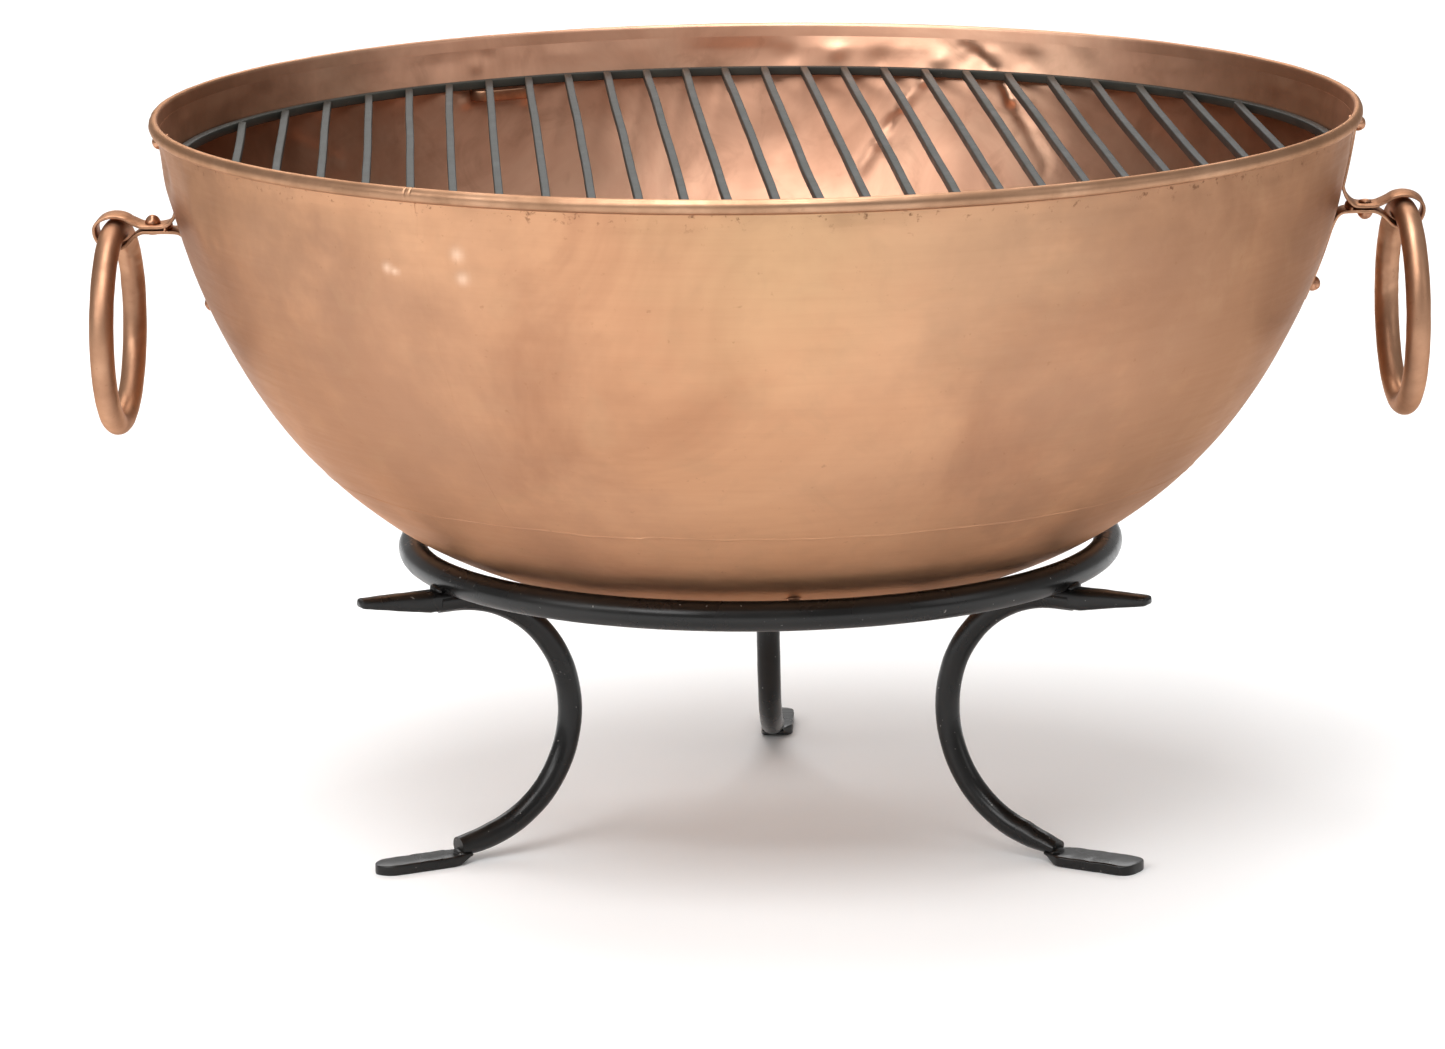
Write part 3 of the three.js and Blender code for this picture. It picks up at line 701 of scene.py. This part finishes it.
# A leg in its own upright plane, as distances out from the axis and up.
BEND_X, BEND_HEIGHT, BEND_RADIUS = 225.0, 94.5, 82.0
BEND_START, BEND_END = 264, 90  # angles in degrees
BAR_END = 226.0
FOOT_HEEL, FOOT_TIP, FOOT_THICK = 221.0, 285.0, 7.0
FLARE, TIP_LENGTH = 12, 12  # lengths over which the foot widens and its tip rounds off
SPUR_ROOT, SPUR_NECK, SPUR_TIP, SPUR_TOP = 219.0, 245.0, 293.0, 184.5
SPUR_WIDE, SPUR_DEEP = 15, 14  # from its root to its neck
TIP_WIDE, TIP_DEEP = 10.5, 6
NOSE = 3  # length of the spur's rounded end
# Welds: place out and up, half sizes out, across and up, and what is added to the leg's seed.
WELDS = {
    "outer_weld": (RING_RADIUS + 8.2, 184.6, (3.4, 7.5, 3.0), 3),
    "inner_weld": (RING_RADIUS - 8.4, 183.4, (3.4, 7.0, 3.2), 5),
    "foot_weld": (BAR_END - 1, 6.4, (4.0, 8.0, 2.8), 6),
}


def roughen(rings, size, lumps, seed):
    """Pushes each ring's points in or out of its middle by smooth noise."""
    rings = np.array(rings, float)
    middle = rings.mean(axis=1, keepdims=True)
    away = rings - middle
    away /= np.maximum(np.linalg.norm(away, axis=2, keepdims=True), 1e-6)
    return rings + away * bumps(rings, lumps, seed)[..., None] * size


def leg_bar(drawn, seed):
    """The round bar of a leg, from its cut end over the foot to its end under the spur."""
    angles = np.radians(np.concatenate([np.linspace(BEND_START, 120, 42), np.linspace(117, BEND_END, 9)]))
    bend = [(BEND_X + BEND_RADIUS * math.cos(a), BEND_HEIGHT + BEND_RADIUS * math.sin(a)) for a in angles]
    end = [(BAR_END, 12.0), (BAR_END - 3, 12.2), (BAR_END - 6, 12.5)]
    line = [*end, *bend, (SPUR_NECK - LEG_BAR, BEND_HEIGHT + BEND_RADIUS)]
    sections = []
    for index in range(len(line)):
        near_end = max(1 - index / 6, 0) * drawn  # the first six rings are drawn down towards the foot
        section = round_section(LEG_BAR, 24)
        section[:, 1] = section[:, 1] * (1 - 0.5 * near_end) - LEG_BAR * 0.45 * near_end
        sections.append(section)
    rings = sweep([(x, 0, z) for x, z in line], sections, (0, -1, 0))
    return roughen(rings, size=0.22, lumps=12, seed=seed)


def leg_foot(width, shift, square, seed):
    """The flattened end of the bar, with hammered, uneven edges. Its heel bends up into the bar."""
    heel, sole = FOOT_HEEL - 2, FOOT_HEEL + 8
    tip = FOOT_TIP - TIP_LENGTH * (1 - np.linspace(0.1, 1, 12) ** 0.6)
    rings = []
    for x in [*np.linspace(heel, FOOT_TIP - TIP_LENGTH, 24), *tip]:
        into_tip = min(max((x - FOOT_TIP + TIP_LENGTH) / TIP_LENGTH, 0), 1)
        rounded = max(1 - into_tip**square, 0.03) ** (1 / square)
        flare = min(max((x - FOOT_HEEL) / FLARE, 0), 1)
        spot = Vector((x / 9, seed, 0))
        wide = (2 * LEG_BAR - 1 + (width - 2 * LEG_BAR + 1) * flare + 1.1 * noise.noise(spot)) * rounded
        lifted = 0.5 * max(sole - x, 0)
        thick = FOOT_THICK - lifted - 0.6 * into_tip + 0.35 * noise.noise(spot * 1.7)
        section = soft_rectangle(wide, thick, min(1.3, wide / 2.1), 3)
        rings.append([(x, shift * flare + a, b + thick / 2 + lifted) for a, b in section])
    return roughen(rings, size=0.22, lumps=5, seed=seed)


def leg_spur(seed):
    """The drawn-out end of the top bar: level on top, thinning to a small blunt tip."""
    tip = SPUR_TIP - NOSE * (1 - np.linspace(0.3, 1, 6))
    rings = []
    for x in [*np.linspace(SPUR_ROOT, SPUR_TIP - NOSE, 26), *tip]:
        share = max(x - SPUR_NECK, 0) / (SPUR_TIP - SPUR_NECK)
        nose = max(x - SPUR_TIP + NOSE, 0) / NOSE
        blunt = math.sqrt(max(1 - nose**2, 0.12))
        thick = (SPUR_DEEP - (SPUR_DEEP - TIP_DEEP) * share) * (0.35 + 0.65 * blunt)
        wide = (SPUR_WIDE - (SPUR_WIDE - TIP_WIDE) * share) * (0.4 + 0.6 * blunt)
        top = SPUR_TOP - 0.4 - 2.2 * (1 - blunt)
        section = soft_rectangle(wide, thick, 4.2 - 2.0 * share if nose < 0.5 else 1.2, 4)
        rings.append([(x, a, top - thick / 2 + b) for a, b in section])
    return roughen(rings, size=0.40, lumps=9, seed=seed)


def lump(centre, sizes, seed):
    """An uneven blob of weld or braze, with its half sizes out, across and up."""
    out, across, up = sizes
    rings = []
    for a in np.radians(np.linspace(4, 176, 12)):
        rings.append([(out * math.sin(a) * math.cos(b), across * math.cos(a), up * math.sin(a) * math.sin(b))
                      for b in circle(16)])
    rings = np.array(rings)
    rings *= 1 + 0.22 * bumps(rings, max(sizes) * 0.7, seed)[..., None]
    return rings + np.array(centre)


def make_legs():
    for number, (side, leg) in enumerate(LEGS.items()):
        seed = 20 + number * 4
        pieces = {
            "leg_bar": leg_bar(leg["drawn"], seed),
            "leg_foot": leg_foot(leg["width"], leg["shift"], leg["square"], seed + 1),
            "leg_spur": leg_spur(seed + 2),
        }
        for name, (out, up, sizes, step) in WELDS.items():
            pieces[name] = lump((out, 0, up), sizes, seed + step)
        for name, rings in pieces.items():
            rings[..., 2] = np.maximum(rings[..., 2], 0.0)
            shape = loft(turn_z(rings, leg["azimuth"]))
            stands_for = [f"leg_{side}"] if name == "leg_bar" else []
            add_piece(f"{name}_{side}", shape, stand_paint, "stand", stands_for)


# ---- grate
GRATE_BEND, GRATE_RIPPLE, GRATE_LEAN = 3.4, 0.7, 0.0105  # how uneven the bars are


def make_hoop():
    """The grate's ring of square bar, which sways a little in and out."""
    section = soft_rectangle(GRATE_BAR, GRATE_BAR, 0.8)
    radius = GRATE_RADIUS - GRATE_BAR / 2
    angles = circle(180)
    up = np.full(180, GRATE_TOP - GRATE_BAR / 2)
    rings = []
    for point in np.stack([radius * np.cos(angles), radius * np.sin(angles), up], -1):
        outward = point / np.hypot(point[0], point[1])
        outward[2] = 0
        sway = 0.5 * noise.noise(Vector(point) / 90)
        rings.append([point + (a + sway) * outward + np.array([0, 0, b]) for a, b in section])
    add_piece("grate_hoop", loft(rings, closed=True), grate_paint, "grate", ["grate_ring"],
              sharp=35)


def make_grate_bars():
    """Square bars, each with a bend and a ripple of its own. The outer ones lean the most."""
    slim = soft_rectangle(GRATE_BAR - 0.7, GRATE_BAR, 0.9)
    reach = GRATE_RADIUS - GRATE_BAR - 0.1
    for number in range(GRATE_BARS):
        x = (number - (GRATE_BARS - 1) / 2) * GRATE_PITCH
        half = math.sqrt(reach**2 - x**2)
        lengthwise = np.linspace(-half, half, 40)
        strength = GRATE_BEND * noise.noise(Vector((number * 3.1, 0.4, 7)))
        bend = strength * np.cos(lengthwise / half * math.pi / 2)
        bend -= GRATE_LEAN * x * lengthwise / reach
        waves = [noise.noise(Vector((number * 1.7, y / 170, 3))) for y in lengthwise]
        ripple = GRATE_RIPPLE * np.array(waves)
        ripple *= np.clip((half - abs(lengthwise)) / 30, 0, 1)
        line = np.stack([x + bend + ripple, lengthwise, np.full(40, GRATE_TOP - GRATE_BAR / 2)], -1)
        rings = roughen(sweep(line, [slim] * 40, (1, 0, 0)), size=0.15, lumps=9, seed=60 + number)
        rings = turn_z(rings, GRATE_TURN)
        add_piece(f"square_bar_{number + 1:02d}", loft(rings), grate_paint, "grate",
                  [f"grate_bar_{number + 1:02d}"], sharp=35)


# ---- handles and their brackets
STRAP_TOP, STRAP_LEAVES, STRAP_RETURNS, STRAP_FOOT = 472, 423, 395, 349  # heights on the wall
EYE_HEIGHT = 407.6
EYE_RADIUS = 11.75  # inside the eye
EYE_SQUASH = 0.68  # the eye is beaten flatter over the handle
BRAZE_OUT, BRAZE_HEIGHT, BRAZE_SIZES = 388.5, 407.8, (3.6, 12.2, 3.4)
NECK_RIVET_OUT = 398
NECK_RIVET_HEIGHTS = {"right": 404.7, "left": 410.5}


def strap_wall(first, last, count):
    """The strap's middle line where it lies against the wall, as (out, up) points."""
    heights = np.linspace(first, last, count)
    points = bowl_point(np.zeros(count), heights, 0.4 + STRAP_THICK / 2)
    return [(p[0] * FACET, p[2]) for p in points]


def strap_line(side):
    """The middle line of the strap as (out, up) points: wall, eye round the handle, wall again."""
    lift = LIFTS[side]
    upper = strap_wall(STRAP_TOP, STRAP_LEAVES + lift, 14)
    lower = strap_wall(STRAP_RETURNS + lift, STRAP_FOOT + lift, 12)
    high_wall, low_wall = upper[-1][0] - 0.4, lower[0][0] + 0.2
    eye_x = PIVOTS["handle_right"][0]
    radius = EYE_RADIUS + STRAP_THICK / 2
    eye = []
    for a in np.radians(np.linspace(140, -140, 36)):
        rise = radius * math.sin(a)
        if rise > 0:
            rise *= EYE_SQUASH
        eye.append((eye_x + radius * math.cos(a), EYE_HEIGHT + lift + rise))
    # The ways to the eye and back, on a bracket that isn't lifted.
    out = [(high_wall + 2.7, 415.6), (high_wall + 6.5, 411), (392.5, 409.4), (398, 409.3), (404.5, 409.5),
           (409.8, 411.6)]
    back = [(409.8, 402.8), (404.5, 405.7), (398, 405.9), (low_wall + 14, 406), (low_wall + 7, 405.2),
            (low_wall + 3.1, 401.6)]
    out = [(x, z + lift) for x, z in out]
    back = [(x, z + lift) for x, z in back]
    return [*upper, *smooth(upper[-1], out, eye[0]), *eye, *smooth(eye[-1], back, lower[0]), *lower]


def smooth(first, points, last):
    """Points between first and last on a smooth curve through the others."""
    knots = [np.array(p, float) for p in (first, *points, last)]
    curve = []
    for i in range(len(knots) - 1):
        before = knots[max(i - 1, 0)]
        a, b = knots[i], knots[i + 1]
        after = knots[min(i + 2, len(knots) - 1)]
        for share in np.linspace(0, 1, 5, endpoint=False):
            first_order = (b - before) * share
            second_order = (2 * before - 5 * a + 4 * b - after) * share**2
            third_order = (3 * a - before - 3 * b + after) * share**3
            curve.append(tuple(0.5 * (2 * a + first_order + second_order + third_order)))
    return curve[1:]


def make_strap(side, azimuth):
    """The bracket: one bent strip, and the braze that closes its eye."""
    line = np.array([(x, 0, z) for x, z in strap_line(side)])
    sections = []
    for index in range(len(line)):
        width = STRAP_WIDTH - 0.6 + 0.8 * noise.noise(Vector((index * 0.13, azimuth, 5)))
        sections.append(soft_rectangle(width, STRAP_THICK, 0.7))
    rings = turn_z(np.array(sweep(line, sections, (0, 1, 0))), azimuth)
    add_piece(f"copper_strap_{side}", loft(rings), fitting_copper, "bowl",
              [f"bracket_strap_{side}"], sharp=40)
    blob = lump((BRAZE_OUT, 0, BRAZE_HEIGHT + LIFTS[side]), BRAZE_SIZES, 70 + azimuth)
    add_piece(f"braze_{side}", loft(turn_z(blob, azimuth)), fitting_copper, "bowl")


RIVET_HEAD, RIVET_SHANK = 5.25, 2.6  # radii
# Height of the head, grip between head and tail, and radius of the tail.
WALL_RIVET, NECK_RIVET, SEAT_RIVET = (5.6, 4.7, 4.6), (5.6, 5.9, 4.4), (4.2, 2.2, 4.6)


def lathe(profile):
    """Rings round +Z through the (radius, height) points of a profile."""
    angles = circle(28)
    return [[(r * math.cos(a), r * math.sin(a), z) for a in angles] for r, z in profile]


def rivet_shape(sizes, seed):
    """A hand-set rivet along +Z, its head on z = 0 and its tail below z = -grip."""
    tall, grip, tail = sizes
    dome = [(RIVET_HEAD * math.sin(a), tall * math.cos(a)) for a in np.radians(np.linspace(4, 84, 9))]
    end = [(tail - 0.4, -grip), (tail, -grip - 0.4), (tail * 0.9, -grip - 1.2), (tail * 0.5, -grip - 1.7)]
    profile = [*dome, (RIVET_HEAD, 0.25), (RIVET_HEAD - 0.3, 0), (RIVET_SHANK, 0), (RIVET_SHANK, -grip), *end]
    rings = np.array(lathe(profile))
    rings[:len(dome)] += 0.25 * bumps(rings[:len(dome)], 3.2, seed)[..., None]
    return loft(rings)


def aim(shape, origin, direction, azimuth):
    """Turns a piece made along +Z to a direction in the (out, up) plane, and then round the bowl."""
    points, faces = shape
    tilt = math.atan2(direction[0], direction[1])
    c, s = math.cos(tilt), math.sin(tilt)
    turned = points @ np.array([[c, 0, s], [0, 1, 0], [-s, 0, c]]).T
    turned = turned + np.array([origin[0], 0, origin[1]])
    return turn_z(turned, azimuth), faces


def wall_spot(height, outwards):
    """A spot over the bowl's outer face and the direction square to it, as (out, up)."""
    slope = float(bowl_slope(np.array(height)))
    normal = np.array([1, -slope]) / math.hypot(1, slope)
    return np.array([float(bowl_radius(np.array(height))), height]) + normal * outwards, normal


def make_rivets(side, azimuth, seed):
    """Two rivets in the wall and one through the strap's neck, with its head below on the right side."""
    for where, height in (("top", TOP_RIVETS[side]), ("low", LOW_RIVET + LIFTS[side])):
        spot, normal = wall_spot(height, STRAP_THICK + 0.3)
        shape = aim(rivet_shape(WALL_RIVET, seed), spot, normal, azimuth)
        add_piece(f"{where}_wall_rivet_{side}", shape, rivet_copper, "bowl",
                  [f"{where}_rivet_{side}"])
        seed += 1
    place = (NECK_RIVET_OUT, NECK_RIVET_HEIGHTS[side] + LIFTS[side])
    direction = (0, -1 if side == "right" else 1)
    shape = aim(rivet_shape(NECK_RIVET, seed), place, direction, azimuth)
    add_piece(f"strap_rivet_{side}", shape, rivet_copper, "bowl", [f"neck_rivet_{side}"])


def make_handle(side, seed):
    """A ring of copper bar, hanging in the eye, with a rough patch where its ends were joined."""
    pivot = PIVOTS[f"handle_{side}"]
    rings = wavy_ring(HANDLE_RADIUS, HANDLE_BAR, count=200, sides=28, unevenness=0.02, seed=seed)
    upright = np.stack([rings[..., 2], rings[..., 0], rings[..., 1]], -1)
    # The joint is on the inner side, away from the front, and higher up on the left ring.
    joint_middle, joint_half = (12 if side == "right" else 38), 26
    patch = np.exp(-(((upright[..., 2] - joint_middle) / joint_half) ** 2)) * (upright[..., 1] > 0)
    middle = upright.mean(axis=1, keepdims=True)
    away = (upright - middle) / HANDLE_BAR
    inwards = np.clip(0.4 - (away * middle).sum(-1) / HANDLE_RADIUS, 0, 1)
    upright = upright + away * (patch * inwards * bumps(upright, 5, seed + 2))[..., None] * 0.6
    upright = turn_z(upright, YAWS[side])
    upright += np.array([pivot[0], 0, pivot[2] - HANDLE_RADIUS])
    add_piece(f"handle_bar_{side}", loft(upright, closed=True), handle_copper, f"handle_{side}",
              [f"ring_handle_{side}"])


def make_seat_rivets():
    """The three rivets that the bowl sits on, each reaching down to the ring."""
    spot, normal = wall_spot(SEAT_HEIGHT, 0.0)
    for number, azimuth in enumerate(SEATS):
        shape = aim(rivet_shape(SEAT_RIVET, 40 + number), spot, normal, azimuth)
        add_piece(f"seat_stud_{number + 1}", shape, rivet_copper, "bowl",
                  [f"seat_rivet_{number + 1}"])


REST_TALL, REST_THICK = 7.6, 2.2
REST_OUT, REST_SIDE, REST_BEND = 381, 13.6, 9  # middles of the loop's two bends, and their radius
REST_GAP, REST_DROP = 0.3, 4.5  # under the grate, and from there down to the strip's middle


def make_rests():
    """Bent strips inside the wall, each a loop with its two ends at the wall."""
    height = GRATE_TOP - GRATE_BAR - REST_GAP - REST_DROP
    wall = float(bowl_radius(np.array(height))) - SHEET
    end = REST_SIDE + REST_BEND
    corner = [(REST_OUT + REST_BEND * math.cos(a), REST_BEND * math.sin(a) - REST_SIDE)
              for a in np.radians(np.linspace(270, 180, 9))]
    half = [(wall, -end), (wall - 3, -end), *corner]
    line = [(x, y, height) for x, y in half] + [(x, -y, height) for x, y in reversed(half)]
    sections = [soft_rectangle(REST_TALL, REST_THICK, 0.8)] * len(line)
    loop = np.array(sweep(line, sections, (0, 0, 1)))
    for number, azimuth in enumerate(RESTS):
        add_piece(f"rest_loop_{number + 1}", loft(turn_z(loop, azimuth)), rest_copper, "bowl",
                  [f"grate_rest_{number + 1}"])


# ---- stage
def make_floor():
    """A plain pale floor, wide enough to reach past every view."""
    mesh = bpy.data.meshes.new("floor")
    half = 30.0
    corners = [(-half, -half, 0), (half, -half, 0), (half, half, 0), (-half, half, 0)]
    mesh.from_pydata(corners, [], [(0, 1, 2, 3)])
    n = Nodes("floor_paint")
    tone = n.ramp(n.cloud(2.0, 3.0), (0.3, (0.92, 0.93, 0.935)), (0.7, (0.94, 0.95, 0.955)))
    mesh.materials.append(n.finish(tone, 0.7, n.bump(n.cloud(80), 0.1, 0.1), 0.0))
    floor = bpy.data.objects.new("floor", mesh)
    bpy.context.scene.collection.objects.link(floor)


def add_softbox(name, location, target, width, height, watts):
    data = bpy.data.lights.new(name, "AREA")
    data.shape = "RECTANGLE"
    data.size = width
    data.size_y = height
    data.energy = watts
    lamp = bpy.data.objects.new(name, data)
    lamp.location = location
    lamp.rotation_euler = (Vector(target) - Vector(location)).to_track_quat("-Z", "Y").to_euler()
    bpy.context.scene.collection.objects.link(lamp)


WORLD_TONE, WORLD_STRENGTH = (1.0, 0.99, 0.98), 0.42
MIDDLE, FLOOR_BEHIND = (0, 0, 0.3), (0, 2.5, 0)
# Place, what it points at, width, height and watts.
LIGHTS = {
    "key": ((-0.3, -1.9, 3.0), MIDDLE, 2.2, 1.4, 76),
    "left": ((-1.9, -3.0, 2.2), MIDDLE, 1.5, 1.2, 34),
    "side": ((-2.5, -1.6, 1.5), MIDDLE, 1.0, 1.0, 13),
    "fill": ((2.8, -1.2, 1.5), MIDDLE, 1.2, 1.6, 8),
    "top": ((-0.2, 0.2, 3.2), MIDDLE, 1.8, 1.6, 58),
    "back": ((-0.5, 4.5, 3.6), FLOOR_BEHIND, 5.0, 2.5, 150),
}


def make_lights():
    """Soft lights round the object and over the floor behind it, in an even white world."""
    world = bpy.data.worlds.new("studio")
    bpy.context.scene.world = world
    world.use_nodes = True
    background = world.node_tree.nodes["Background"]
    background.inputs["Color"].default_value = (*WORLD_TONE, 1)
    background.inputs["Strength"].default_value = WORLD_STRENGTH
    for name, settings in LIGHTS.items():
        add_softbox(name, *settings)


CAMERA_REACH, CAMERA_HEIGHT = 4.2, 1.1014  # metres from the object's axis and over the floor
CAMERA_ANGLES = (1.93, 12.1, 0.34, -0.72)  # azimuth, pitch, yaw and roll in degrees
SENSOR_WIDTH, LENS = 36, 161.4


def make_camera():
    """A long lens a little above the rim, as in the photograph."""
    azimuth, pitch, yaw, roll = (math.radians(a) for a in CAMERA_ANGLES)
    location = Vector((CAMERA_REACH * math.sin(azimuth), -CAMERA_REACH * math.cos(azimuth), CAMERA_HEIGHT))
    heading = azimuth + yaw
    flat = math.cos(pitch)
    forward = Vector((-math.sin(heading) * flat, math.cos(heading) * flat, -math.sin(pitch)))
    level = forward.cross(Vector((0, 0, 1))).normalized()
    upright = level.cross(forward)
    right = math.cos(roll) * level + math.sin(roll) * upright
    up = right.cross(forward)
    camera = bpy.data.objects.new("camera", bpy.data.cameras.new("camera"))
    camera.data.sensor_width = SENSOR_WIDTH
    camera.data.lens = LENS
    camera.matrix_world = Matrix((right, up, -forward)).transposed().to_4x4()
    camera.location = location
    bpy.context.scene.collection.objects.link(camera)
    bpy.context.scene.camera = camera


make_camera()
make_lights()
make_floor()
bpy.context.scene.view_settings.view_transform = "Standard"

make_stand_ring()
make_legs()
make_wall()
make_base()
make_seams()
make_rim()
make_seat_rivets()
make_rests()
make_hoop()
make_grate_bars()
for seed, (side, azimuth) in enumerate(SIDES.items()):
    make_strap(side, azimuth)
    make_rivets(side, azimuth, 10 + seed * 5)
    make_handle(side, 3 + seed * 2.7)
